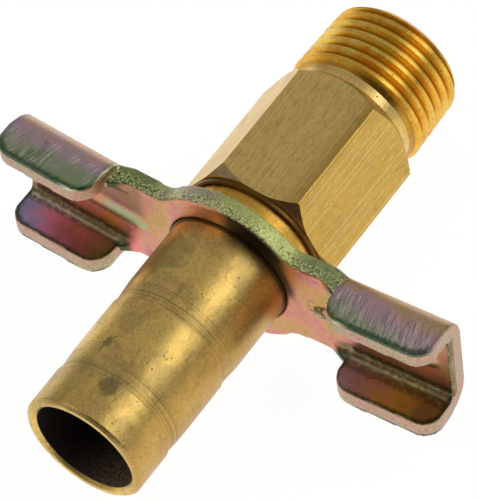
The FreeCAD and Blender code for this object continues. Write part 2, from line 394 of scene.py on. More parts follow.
@dataclass(frozen=True)
class BrassFinish(Finish):
    """Brass with the marks of its tool, tarnish, grime and pits, and painted shade on one side and
    at joins.
    """

    clean: Colour
    dull: Colour
    stain: Colour
    pale: Colour
    grain: Grain = Grain.TURNED
    # Painted light and shade: one side of the piece, toward +X, tinted darker or warmer.
    painted_side: Colour = WHITE
    painted_side_zone: Zone = ((X, 6.5, 9.0),)
    painted_side_share: float = 0.0
    roughness: float = 0.36
    patch_size: float = 6.0
    tarnish: float = 0.5
    blotch_size: Size = (1.3, 4.0, 1.3)
    fine_size: float = 0.30
    mottle: float = 0.3
    smear: float = 1.0
    marking: float = 0.1
    scratch_size: Size = (0.16, 60.0, 0.16)
    bands: tuple[Zone, ...] = ()
    band_marking: float = 0.55
    smudges: tuple[Smudge, ...] = ()
    # Colour of the smudges: soot, and painted shade for the broadest one.
    soot_and_shade: Colour = (0.23, 0.18, 0.085)
    # Painted shade, with some grime, next to joining parts.
    grime_and_shade_zone: Zone = ()
    grime_and_shade_black: Colour = (0.12, 0.07, 0.03)
    thread_crest: float = 0.0
    thread_taper: float = 0.0

    def fill(self, paint: Paint) -> None:
        """Adds the brass to a recipe.

        Args:
            paint: The recipe.
        """
        patches = paint.noise(self.patch_size, detail=5.0, distortion=0.8)
        blotches = paint.noise(self.blotch_size, detail=4.0, roughness=0.7, shift=7.0)
        fine_sizes = (self.fine_size, self.fine_size * self.smear, self.fine_size)
        fine = paint.noise(fine_sizes, roughness=0.7, shift=11.0)
        marks = paint.noise(*self.grain.value)
        strength = self.marking + self.band_marking * sum(map(paint.zone, self.bands))
        pits = paint.specks(0.7, 0.26) * paint.noise(3.5, shift=3.0).between(0.52, 0.62)
        layers = [
            # Painted light and shade: one side tinted.
            (paint.zone(self.painted_side_zone) * self.painted_side_share, self.painted_side),
            (blotches.between(0.46, 0.34) * self.mottle, self.stain),
            (fine.between(0.50, 0.40) * self.mottle, self.stain),
            (fine.between(0.56, 0.66) * self.mottle, self.pale),
            (marks.between(0.52, 0.38) * strength, self.stain),
        ]
        if self.grain is Grain.DRAWN:
            scratches = paint.noise(self.scratch_size, detail=1.0, shift=21.0)
            layers.append((scratches.between(0.66, 0.71) * 0.75, self.pale))
        if self.thread_crest:
            layers.append((self.root_darkening(paint), self.stain))
        layers += [(smudge.cover(paint), self.soot_and_shade) for smudge in self.smudges]
        # Painted shade, with some grime, where the tube meets the plate and at the body's mouth
        # round the stem.
        if self.grime_and_shade_zone:
            layers.append((paint.zone(self.grime_and_shade_zone) * 0.8, self.grime_and_shade_black))
        layers.append((pits * 0.8, self.stain))
        tarnished = paint.mix(patches.between(0.42, 0.58) * self.tarnish, self.clean, self.dull)
        rough = self.roughness + (patches - 0.5) * 0.2 + (fine - 0.5) * 0.25 + pits * 0.2
        paint.set(Base_Color=paint.layers(tarnished, *layers), Roughness=rough, Metallic=1.0)
        paint.bump(marks * strength * 2.0 + fine * 0.6 + blotches * 0.6 - pits * 1.2, 0.02)

    def root_darkening(self, paint: Paint) -> Value:
        """Share of a darker colour toward the roots of the thread."""
        crest = self.thread_crest - paint.measure(Y) * (self.thread_taper / 2.0)
        return (crest - paint.measure(RADIUS)).between(0.3, 0.8) * 0.65


@dataclass(frozen=True)
class BoreFinish(Finish):
    """Dark oxide inside a brass tube, with brown grit toward the right that is rust and painted
    light.
    """

    dark: Colour
    brown: Colour
    rust_and_light_zone: Zone = ((X, -5.0, 6.0),)
    least_rust_and_light: float = 0.05

    def fill(self, paint: Paint) -> None:
        """Adds the oxide to a recipe.

        Args:
            paint: The recipe.
        """
        grit = paint.noise(0.22, roughness=0.75)
        # Painted light, with rust: the brown grit shows more toward the right.
        rust_and_light = self.least_rust_and_light + paint.zone(self.rust_and_light_zone) * (1.0 - self.least_rust_and_light)
        paint.set(Base_Color=paint.mix(grit.between(0.40, 0.64) * rust_and_light, self.dark, self.brown))
        paint.set(Roughness=0.45 + grit * 0.3, Metallic=0.3)
        paint.bump(grit, 0.03)


@dataclass(frozen=True)
class PlatedFinish(Finish):
    """Zinc under a thin film, whose thickness gives its colour, on the folded sheet."""

    film: Film
    roughness: float = 0.36
    wing_start: float = 19.5
    wing_end: float = 36.6
    flange_depth: float = 6.2
    corner: float = 3.2

    def depth(self, paint: Paint) -> Value:
        """How far a point stands in front of the leaning sheet's front face, in millimetres."""
        leaning = (paint.measure(SIDE) - LEAN_START).at_least(0.0)
        return SHEET_FRONT - paint.measure(Y) + leaning * LEAN

    def from_rim(self, paint: Paint) -> Value:
        """Distance inside a flange's rounded rim.

        Args:
            paint: The recipe to add it to.

        Returns:
            The distance in millimetres.
        """
        middle = (self.wing_end + self.wing_start) / 2.0
        straight = (self.wing_end - self.wing_start) / 2.0 - self.corner
        side = (abs(paint.measure(SIDE) - middle) - straight).at_least(0.0)
        end = (self.depth(paint) - (self.flange_depth - self.corner)).at_least(0.0)
        return self.corner - (side * side + end * end).root()

    def pits(self, paint: Paint) -> Value:
        """Fine pits in uneven patches."""
        patches = paint.noise(2.2, shift=2.0).between(0.5, 0.62)
        return paint.specks(0.55, 0.30, shift=4.0) * patches


@dataclass(frozen=True)
class FrontFinish(PlatedFinish):
    """Film on the flat front, with darker colours inside the folded flanges, painted shade in the
    folds, beside the bead and round the tube, and a painted reflection on the bead.
    """

    inside: Film = ()
    glow: Film = ()
    border: Colour = (0.05, 0.08, 0.03)
    crease_shade: Colour = (0.17, 0.14, 0.06)
    fleck: Colour = (0.46, 0.38, 0.19)
    bead_reflection: Colour = (0.40, 0.47, 0.24)
    seam_and_shade: Colour = (0.04, 0.033, 0.025)
    bead_start: float = 15.6
    bead_edge: tuple[float, float] = (1.6, 1.3)
    bead_reflection_zone: Zone = ((X, -23.0, -20.5),)
    right_half: Zone = ((X, 0.0, 1.0),)
    shade_beside_bead: Zone = ((X, -13.5, -15.5), (Z, 0.8, 2.4))
    near_bead: Zone = ((X, -14.5, -16.5), (X, -24.0, -21.5), (Z, 0.0, -1.5))
    fold: Zone = ((LIFT, 4.6, 5.6), (SIDE, 17.0, 19.0))
    web_tip: Zone = ((SIDE, 35.6, 36.2),)
    scuffed: Zone = ((X, 12.8, 14.6), (X, 21.0, 19.5), (Z, -1.6, -0.5), (Z, 2.4, 1.3))
    tube_shadow_band: Zone = ((RADIUS, 14.2, 12.8), (SLANT, 7.2, 9.0), (X, -1.0, 2.0), (X, 11.5, 9.0))
    tube_shade_close: Zone = ((RADIUS, 12.2, 10.8), (Z, -1.0, 2.0), (X, 0.0, 4.0))
    tube_seam: Zone = ((RADIUS, 10.3, 9.9),)

    def fill(self, paint: Paint) -> None:
        """Adds the front's plating to a recipe.

        Args:
            paint: The recipe.
        """
        fine = paint.noise(0.7, detail=4.0, roughness=0.65, shift=5.0)
        colour = paint.layers(
            self.flat(paint, fine),
            (self.depth(paint).between(0.3, 0.9), self.flange(paint, fine)),
            (self.pits(paint) * 0.6, PIT_BLACK))
        crystals = paint.noise(0.22, roughness=0.7, shift=9.0)
        paint.set(Base_Color=colour, Metallic=0.95)
        paint.set(Roughness=self.roughness + (fine - 0.5) * 0.3)
        paint.bump(crystals + fine, 0.012)

    def flat(self, paint: Paint, fine: Value) -> Value:
        """Colour of the ring, the arms and the wings' webs.

        Args:
            paint: The recipe to add it to.
            fine: Fine noise.

        Returns:
            The colour.
        """
        x, z = map(paint.measure, (X, Z))
        clouds = paint.noise(6.0, distortion=1.0)
        short = (self.bead_start - abs(x)).at_least(0.0)
        on_bead = (short * short + z * z).root().between(*self.bead_edge)
        bead_reflection_share = paint.zone(self.bead_reflection_zone) * (0.8 - paint.zone(self.right_half) * 0.6)
        scuffs = paint.noise(0.9, shift=41.0).between(0.50, 0.55)
        shaded = paint.zone(self.fold).at_least(paint.zone(self.web_tip))
        return paint.layers(
            paint.ramp(0.56 + (clouds - 0.5) * 1.5 + (fine - 0.5) * 0.5, self.film),
            # Painted shade beside the bead's end.
            (paint.zone(self.shade_beside_bead) * 0.5, self.crease_shade),
            (paint.zone(self.near_bead) * 0.85, paint.ramp(x * (-1.0 / self.wing_end), self.glow)),
            # Painted shade in the folds and at the webs' tips.
            (shaded * 0.9, self.crease_shading(paint, fine)),
            # Painted reflection: the bead tinted green, strongly on the left wing and faintly on
            # the right.
            (on_bead * bead_reflection_share, self.bead_reflection),
            (scuffs * paint.zone(self.scuffed) * 0.85, self.border),
            # Painted shade of the tube on the plate, and a dark seam round it.
            (paint.zone(self.tube_shadow_band), self.seam_and_shade),
            (paint.zone(self.tube_shade_close) * 0.9, self.seam_and_shade),
            (paint.zone(self.tube_seam) * 0.7, self.seam_and_shade))

    def crease_shading(self, paint: Paint, fine: Value) -> Value:
        """Dark flecked colour for painted shade in the folds."""
        return paint.mix(fine.between(0.52, 0.60) * 0.7, self.crease_shade, self.fleck)

    def flange(self, paint: Paint, fine: Value) -> Value:
        """Colour inside the folded flanges.

        Args:
            paint: The recipe to add it to.
            fine: Fine noise.

        Returns:
            The colour.
        """
        swirl = paint.noise(4.0, distortion=0.8, shift=31.0)
        along = 0.5 + paint.measure(X) * (0.5 / self.wing_end)
        ragged = self.depth(paint) - paint.zone(self.right_half) * 0.9 + (fine - 0.5) * 2.4
        rim = self.from_rim(paint) + (fine - 0.5) * 0.8
        return paint.layers(
            paint.ramp(along + (swirl - 0.5) * 0.16 + (fine - 0.5) * 0.05, self.inside),
            # Painted shade inside the flanges toward the fold.
            (ragged.between(2.2, 1.0) * 0.85, self.crease_shading(paint, fine)),
            (rim.between(1.0, 0.3) * 0.85, self.border))


@dataclass(frozen=True)
class OutsideFinish(PlatedFinish):
    """Film outside the folds, from gold at the bend to green at the free edge."""

    strokes: Colour = (0.86, 0.74, 0.62)
    border: Colour = (0.06, 0.10, 0.05)
    edge_highlight: Colour = (0.88, 0.92, 0.60)
    fan: float = 0.0085
    stroke_size: Size = (0.17, 2.2, 2.2)
    right_wing: Zone = ((X, 18.0, 36.0),)
    in_wing: Zone = ((SIDE, 18.5, 19.5),)
    inner_end: Zone = ((SIDE, 25.0, 22.0), (SIDE, 18.5, 19.5))

    def fill(self, paint: Paint) -> None:
        """Adds the outside's plating to a recipe.

        Args:
            paint: The recipe.
        """
        depth = self.depth(paint)
        x, z = map(paint.measure, (X, Z))
        clouds = paint.noise(5.5, distortion=1.2, shift=13.0)
        fine = paint.noise(0.6, detail=4.0, roughness=0.65, shift=5.0)
        to_edge = (depth + SHEET_THICKNESS) * (1.0 / (SHEET_THICKNESS + self.flange_depth))
        share = to_edge + 0.10 - paint.zone(self.right_wing) * 0.30
        fanned = paint.add("ShaderNodeCombineXYZ", inputs={
            0: x * (1.0 - depth * self.fan) * MM, 1: depth * MM, 2: z * MM})
        drag = paint.noise(self.stroke_size, detail=1.0, roughness=0.5, place=fanned)
        patch = paint.noise(5.0, detail=2.0, shift=17.0).between(0.42, 0.54)
        patch = patch * depth.between(0.2, 1.2)
        lines = drag.between(0.53, 0.60) * patch
        rim = self.from_rim(paint)
        grown = paint.zone(self.in_wing) * (0.3 + depth.between(3.0, 5.2) * 0.55)
        colour = paint.layers(
            paint.ramp(share + (clouds - 0.5) * 0.75 + (fine - 0.5) * 0.25, self.film),
            (lines * 0.5, self.strokes),
            (drag.between(0.46, 0.38) * patch * 0.35, self.border),
            ((rim + (fine - 0.5) * 1.2).between(1.1, 0.4) * grown, self.border),
            # Painted highlight along the rounded rim at the flange's inner end.
            (rim.between(0.35, 0.1) * paint.zone(self.inner_end) * 0.75, self.edge_highlight),
            (self.pits(paint) * 0.5, PIT_BLACK))
        paint.set(Base_Color=colour, Metallic=0.95)
        paint.set(Roughness=self.roughness + (fine - 0.5) * 0.3)
        paint.bump(fine * 0.6 + lines * 1.5, 0.015)


@dataclass(frozen=True)
class ShearedFinish(PlatedFinish):
    """Film on a sheared edge, with the sparkle of torn metal."""

    bright: Colour = (0.98, 1.0, 0.50)
    sparkle: float = 0.95
    tinting: float = 0.0
    shade_green: Colour = (0.15, 0.23, 0.08)
    mauve: Colour = (0.46, 0.37, 0.33)
    teal: Colour = (0.17, 0.22, 0.15)
    shaded_left_arm: Zone = ((X, -11.5, -14.0),)
    right_arm: Zone = ((X, 10.5, 13.5),)
    ring_left: Zone = ((X, -12.5, -10.0), (X, 0.5, -3.0))
    ring_right: Zone = ((X, -1.0, 3.0), (X, 12.0, 9.0))

    def fill(self, paint: Paint) -> None:
        """Adds the edge's plating to a recipe.

        Args:
            paint: The recipe.
        """
        clouds = paint.noise(5.0, shift=8.0)
        grain = paint.noise(0.36, roughness=0.75, shift=9.0)
        coarse = paint.noise(0.9, roughness=0.7, shift=6.0)
        front_half = 0.3 + self.depth(paint).between(-2.0, -1.2) * 0.7
        patches = paint.noise(3.0, detail=2.0, shift=15.0) + paint.zone(self.ring_right) * 0.12
        torn = patches.between(0.28, 0.46) * front_half * self.sparkle
        teal = paint.zone(self.right_arm) * (0.45 + coarse.between(0.40, 0.60) * 0.4)
        mauve = paint.zone(self.ring_left) * clouds.between(0.36, 0.52)
        colour = paint.layers(
            paint.ramp(0.5 + (clouds - 0.5) * 1.4 + (coarse - 0.5) * 0.4, self.film),
            # Painted shade on the left arm's edge.
            (paint.zone(self.shaded_left_arm) * self.tinting, self.shade_green),
            (teal * self.tinting, self.teal),
            (mauve * self.tinting, self.mauve),
            (grain.between(0.52, 0.58) * torn, self.bright),
            (grain.between(0.46, 0.40) * torn * 0.8, PIT_BLACK),
            (coarse.between(0.38, 0.30) * torn, PIT_BLACK))
        paint.set(Base_Color=colour, Metallic=0.9)
        paint.set(Roughness=self.roughness + (grain - 0.5) * 0.4)
        paint.bump(grain * 0.6 + coarse * 1.4, 0.03 + 0.07 * self.sparkle)


@dataclass(frozen=True)
class RubberFinish(Finish):
    """Black sealing rubber with a grey bloom."""

    black: Colour
    grey: Colour

    def fill(self, paint: Paint) -> None:
        """Adds the rubber to a recipe.

        Args:
            paint: The recipe.
        """
        bloom = paint.noise(0.9, detail=4.0)
        paint.set(Base_Color=paint.mix(bloom, self.black, self.grey), Roughness=0.55 + bloom * 0.2)
        paint.bump(bloom, 0.02)


DRAWN_BRASS = BrassFinish(
    "drawn_brass", (0.95, 0.66, 0.20), (0.84, 0.58, 0.19), (0.40, 0.27, 0.09),
    pale=(1.0, 0.82, 0.42), painted_side=(0.62, 0.37, 0.06), painted_side_zone=((X, 4.5, 7.0),), painted_side_share=0.8,
    grain=Grain.DRAWN, tarnish=0.6, smear=4.5, marking=0.16)
THREAD_BRASS = BrassFinish(
    "thread_brass", (0.96, 0.66, 0.12), (0.94, 0.48, 0.05), (0.42, 0.20, 0.03),
    pale=(1.0, 0.76, 0.20), painted_side=(0.96, 0.52, 0.06), painted_side_zone=((X, 2.0, 4.5),), painted_side_share=0.4,
    roughness=0.34, patch_size=3.2, tarnish=0.85, mottle=0.28, marking=0.18,
    grime_and_shade_zone=((Y, -36.9, -37.4),), grime_and_shade_black=(0.055, 0.028, 0.012),
    thread_crest=10.45, thread_taper=1.0 / 16.0)
# Painted shade: a darker copy of the brass for the near chamfer.
SHADED_CHAMFER_BRASS = BrassFinish(
    "chamfer_brass_shaded", (0.56, 0.40, 0.19), (0.42, 0.29, 0.13), (0.22, 0.14, 0.06),
    pale=(0.74, 0.56, 0.30), painted_side=(0.34, 0.22, 0.07), painted_side_zone=((X, 2.0, 4.5),), painted_side_share=0.7,
    tarnish=0.7, mottle=0.35)
# Painted highlight: a paler copy of the brass for the relief and the far chamfer.
LIT_RELIEF_BRASS = BrassFinish(
    "relief_brass_lit", (1.0, 0.73, 0.27), (0.90, 0.60, 0.17), (0.46, 0.30, 0.09),
    pale=(1.0, 0.84, 0.44), tarnish=0.8, mottle=0.35, marking=0.3)
NECK_BRASS = BrassFinish(
    "neck_brass", (0.98, 0.58, 0.10), (0.82, 0.46, 0.08), (0.36, 0.16, 0.03),
    pale=(1.0, 0.70, 0.20), roughness=0.42, tarnish=0.8, marking=0.25, grime_and_shade_zone=((Y, -41.4, -42.2),))
TUBE_BRASS = BrassFinish(
    "tube_brass", (0.92, 0.62, 0.17), (0.68, 0.47, 0.15), (0.30, 0.19, 0.07),
    pale=(1.0, 0.78, 0.36), painted_side=(0.54, 0.31, 0.07), painted_side_share=0.75,
    roughness=0.38, tarnish=0.85, smear=1.8, marking=0.07,
    bands=(((Y, -59.5, -59.2), (Y, -55.7, -56.9)), ((Y, -72.6, -72.3), (Y, -69.0, -70.2))),
    grime_and_shade_zone=((Y, -44.8, -44.3),),
    # The last smudge, broad and faint on the left of the tube's end, is painted shade; the others
    # are soot.
    smudges=(Smudge((1.9, -73.6, 9.4), 1.9, 0.75), Smudge((-2.4, -68.0, 9.1), 1.0, 0.65),
             Smudge((-4.5, -51.0, 8.5), 4.2, 0.45), Smudge((-5.5, -76.0, 7.5), 6.5, 0.3)))
BORE_OXIDE = BoreFinish("bore_oxide", (0.020, 0.015, 0.014), (0.50, 0.32, 0.18))
SEAL_BLACK = RubberFinish("seal_black", (0.012, 0.012, 0.013), (0.036, 0.036, 0.039))

FRONT_FILM = (
    (0.15, (0.44, 0.30, 0.08)), (0.36, (0.62, 0.36, 0.11)), (0.54, (0.70, 0.31, 0.19)),
    (0.72, (0.66, 0.25, 0.20)), (0.90, (0.46, 0.20, 0.22)))
INSIDE_FILM = (
    (0.00, (0.30, 0.30, 0.42)), (0.05, (0.54, 0.36, 0.60)), (0.10, (0.80, 0.34, 0.52)),
    (0.16, (0.60, 0.26, 0.22)), (0.24, (0.26, 0.28, 0.10)), (0.77, (0.60, 0.44, 0.74)),
    (0.82, (0.62, 0.36, 0.36)), (0.89, (0.84, 0.58, 0.10)), (0.97, (0.42, 0.28, 0.10)))
OUTSIDE_FILM = (
    (0.02, (0.62, 0.40, 0.22)), (0.22, (0.68, 0.45, 0.24)), (0.40, (0.67, 0.42, 0.42)),
    (0.58, (0.60, 0.42, 0.48)), (0.74, (0.46, 0.44, 0.34)), (0.95, (0.30, 0.40, 0.20)))
GLOW_FILM = (
    (0.42, (0.84, 0.32, 0.24)), (0.50, (0.90, 0.26, 0.26)), (0.58, (0.86, 0.40, 0.07)),
    (0.66, (0.40, 0.17, 0.07)))
SHEARED_FILM = (
    (0.15, (0.34, 0.40, 0.14)), (0.42, (0.60, 0.67, 0.21)), (0.62, (0.70, 0.74, 0.28)),
    (0.85, (0.72, 0.58, 0.38)))
EDGE_FILM = (
    (0.15, (0.38, 0.36, 0.20)), (0.38, (0.54, 0.40, 0.25)), (0.60, (0.62, 0.36, 0.26)),
    (0.85, (0.56, 0.28, 0.22)))

PLATE_FRONT = FrontFinish("plated_front", FRONT_FILM, inside=INSIDE_FILM, glow=GLOW_FILM)
PLATE_OUTSIDE = OutsideFinish("plated_outside", OUTSIDE_FILM)
PLATE_SHEARED = ShearedFinish("plated_sheared", SHEARED_FILM, roughness=0.42, tinting=0.75)
PLATE_EDGE = ShearedFinish(
    "plated_edge", EDGE_FILM, roughness=0.42, bright=(0.80, 0.60, 0.44), sparkle=0.4)


class Bench:
    """Modelling steps that the pieces share, done with operators on the active mesh."""

    @staticmethod
    def clear() -> None:
        """Leaves edit mode and deselects every object."""
        if bpy.context.object and bpy.context.object.mode != "OBJECT":
            bpy.ops.object.mode_set(mode="OBJECT")
        bpy.ops.object.select_all(action="DESELECT")

    @staticmethod
    def activate(piece: Object) -> None:
        """Makes an object the only selected and the active one.

        Args:
            piece: The object.
        """
        Bench.clear()
        piece.select_set(True)
        bpy.context.view_layer.objects.active = piece

    @staticmethod
    def edit(*steps: Callable[[], Any]) -> None:
        """Works on the whole active mesh in edit mode.

        Args:
            steps: What is done, in order.
        """
        bpy.ops.object.mode_set(mode="EDIT")
        bpy.ops.mesh.select_all(action="SELECT")
        for step in steps:
            step()
        bpy.ops.object.mode_set(mode="OBJECT")

    @staticmethod
    def spin(name: str, outline: Sequence[Point], steps: int) -> Object:
        """Turns a closed outline about Y, with the last column left unmerged.

        Args:
            name: The new piece's name.
            outline: Points (radius, y) in millimetres, in order round the section.
            steps: Columns round the axis.

        Returns:
            The piece, as steps + 1 copies of the outline joined by faces.
        """
        Bench.clear()
        bpy.ops.mesh.primitive_circle_add(vertices=len(outline), radius=MM, fill_type="NOTHING")
        piece = bpy.context.object
        piece.name = name
        for vertex, (radius, y) in zip(piece.data.vertices, outline):
            vertex.co = Vector((radius, y, 0.0)) * MM
        Bench.edit(lambda: bpy.ops.mesh.spin(
            steps=steps, angle=FULL_TURN, center=(0, 0, 0), axis=(0, 1, 0), use_auto_merge=False))
        return piece

    @staticmethod
    def close(piece: Object) -> None:
        """Merges seams and poles and turns the faces outwards.

        Args:
            piece: The piece.
        """
        Bench.activate(piece)
        Bench.edit(
            lambda: bpy.ops.mesh.remove_doubles(threshold=MERGE_DISTANCE),
            lambda: bpy.ops.mesh.delete_loose(),
            lambda: bpy.ops.mesh.select_all(action="SELECT"),
            lambda: bpy.ops.mesh.normals_make_consistent(inside=False))

    @staticmethod
    def modify(piece: Object, kind: str, **settings: Any) -> None:
        """Adds a modifier and applies it.

        Args:
            piece: The piece.
            kind: The modifier's type.
            settings: Its properties.
        """
        Bench.activate(piece)
        modifier = piece.modifiers.new(kind.lower(), kind)
        for key, value in settings.items():
            setattr(modifier, key, value)
        bpy.ops.object.modifier_apply(modifier=modifier.name)

    @staticmethod
    def boolean(piece: Object, cutter: Object, operation: str) -> None:
        """Combines a piece with a cutter, deletes the cutter and closes the piece.

        Args:
            piece: The piece.
            cutter: The cutter.
            operation: How they combine.
        """
        Bench.modify(piece, "BOOLEAN", object=cutter, operation=operation, solver="EXACT")
        bpy.data.objects.remove(cutter)
        Bench.close(piece)

    @staticmethod
    def smooth(piece: Object) -> None:
        """Smooth shading, with creases past an angle and flat faces kept flat.

        Args:
            piece: The piece.
        """
        Bench.activate(piece)
        bpy.ops.object.shade_smooth_by_angle(angle=math.radians(CREASE_DEG))
        Bench.modify(piece, "WEIGHTED_NORMAL", keep_sharp=True, weight=80)

    @staticmethod
    def dress(piece: Object, finishes: Sequence[Finish],
              choose: Callable[[Vector, Vector], Finish]) -> None:
        """Gives each face of a piece one of its finishes.

        Args:
            piece: The piece.
            finishes: All of its finishes.
            choose: Gives the finish for a face's middle, in millimetres, and its normal.
        """
        for finish in finishes:
            piece.data.materials.append(finish.material())
        numbers = {finish.name: number for number, finish in enumerate(finishes)}
        for face in piece.data.polygons:
            face.material_index = numbers[choose(face.center / MM, face.normal).name]

    @staticmethod
    def settle(piece: Object, node: Node) -> None:
        """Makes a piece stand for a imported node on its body.

        Args:
            piece: The piece.
            node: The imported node.
        """
        name, body, slot = node.value
        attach(piece, body)
        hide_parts(name)
        LOG.info("%s: %d faces, stands for %s", piece.name, len(piece.data.polygons), name)


def radial(place: Vector, normal: Vector) -> tuple[float, float]:
    """A face's distance from the axis, and how far its normal points away from the axis."""
    reach = math.hypot(place.x, place.z)
    return reach, (normal.x * place.x + normal.z * place.z) / max(reach, 1.0)


@dataclass(frozen=True)
class Corner:
    """One corner of a turned outline."""

    radius: float
    y: float
    rounding: float = 0.0


def rounded(corners: Sequence[Corner], steps: int = 3) -> list[Point]:
    """Outline with its corners rounded by arcs.

    Args:
        corners: The sharp closed outline.
        steps: Segments of each arc.

    Returns:
        Points (radius, y).
    """
    points: list[Point] = []
    for number, corner in enumerate(corners):
        here = Vector((corner.radius, corner.y))
        if corner.rounding == 0.0:
            points.append((corner.radius, corner.y))
            continue
        before, after = corners[number - 1], corners[(number + 1) % len(corners)]
        back = (Vector((before.radius, before.y)) - here).normalized()
        ahead = (Vector((after.radius, after.y)) - here).normalized()
        half = back.angle(ahead) / 2.0
        reach = corner.rounding / math.tan(half)
        centre = here + (back + ahead).normalized() * (corner.rounding / math.sin(half))
        start = here + back * reach - centre
        sweep = start.angle_signed(here + ahead * reach - centre)
        for step in range(steps + 1):
            angle = math.atan2(start.y, start.x) - sweep * step / steps
            points.append((centre.x + corner.rounding * math.cos(angle),
                           centre.y + corner.rounding * math.sin(angle)))
    return points


@dataclass(frozen=True)
class Thread:
    """A right-handed screw thread on a turned blank."""

    start: float
    end: float
    crest_r: float
    pitch: float
    height: float
    floor_r: float
    taper: float = 0.0
    end_chamfer: float = 0.0
    phases: tuple[float, ...] = (0.04, 0.14, 0.24, 0.34, 0.66, 0.76, 0.86, 0.96)
    root_half: float = 0.04
    crest_half: float = 0.16

    def rows(self) -> list[float]:
        """Stations of the outline's points along the thread, for the first column.

        Returns:
            Rising y values that run a pitch past the end, so that the lead can shift them.
        """
        turns = range(math.ceil((self.end - self.start) / self.pitch) + 1)
        rows = [self.start + (turn + phase) * self.pitch for turn in turns for phase in self.phases]
        return [self.start] + rows + [self.end + self.pitch]

    def radius_at(self, y: float, turn: float) -> float:
        """Radius of the threaded surface.

        Args:
            y: Station along the axis.
            turn: Angle from +X toward +Z as a share of a turn.

        Returns:
            The radius.
        """
        crest = self.crest_r - y * self.taper / 2.0
        phase = ((y - self.start) / self.pitch + turn) % 1.0
        from_root = min(phase, 1.0 - phase)
        rise = (from_root - self.root_half) / (0.5 - self.root_half - self.crest_half)
        radius = crest - self.height * (1.0 - min(max(rise, 0.0), 1.0))
        radius = max(radius, self.floor_r - (y - self.start))
        if self.end_chamfer:
            radius = min(radius, self.crest_r - self.end_chamfer + (self.end - y))
        return radius

    def turn(self, name: str, before: list[Corner], after: list[Corner], columns: int) -> Object:
        """Turns a piece from its section, with this thread on it.

        Args:
            name: The piece's name.
            before: Corners of the closed section up to the thread's start.
            after: Corners from the thread's end.
            columns: Columns round the axis.

        Returns:
            The piece.
        """
        rows = self.rows()
        points = rounded(before + [Corner(self.crest_r, row) for row in rows] + after)
        first = points.index((self.crest_r, self.start))
        piece = Bench.spin(name, points, columns)
        for column in range(columns + 1):
            turn = column / columns
            angle = FULL_TURN * turn
            for number, row in enumerate(rows, column * len(points) + first):
                y = min(max(row - self.pitch * turn, self.start), self.end)
                radius = self.radius_at(y, turn)
                place = Vector((radius * math.cos(angle), y, radius * math.sin(angle)))
                piece.data.vertices[number].co = place * MM
        Bench.close(piece)
        return piece


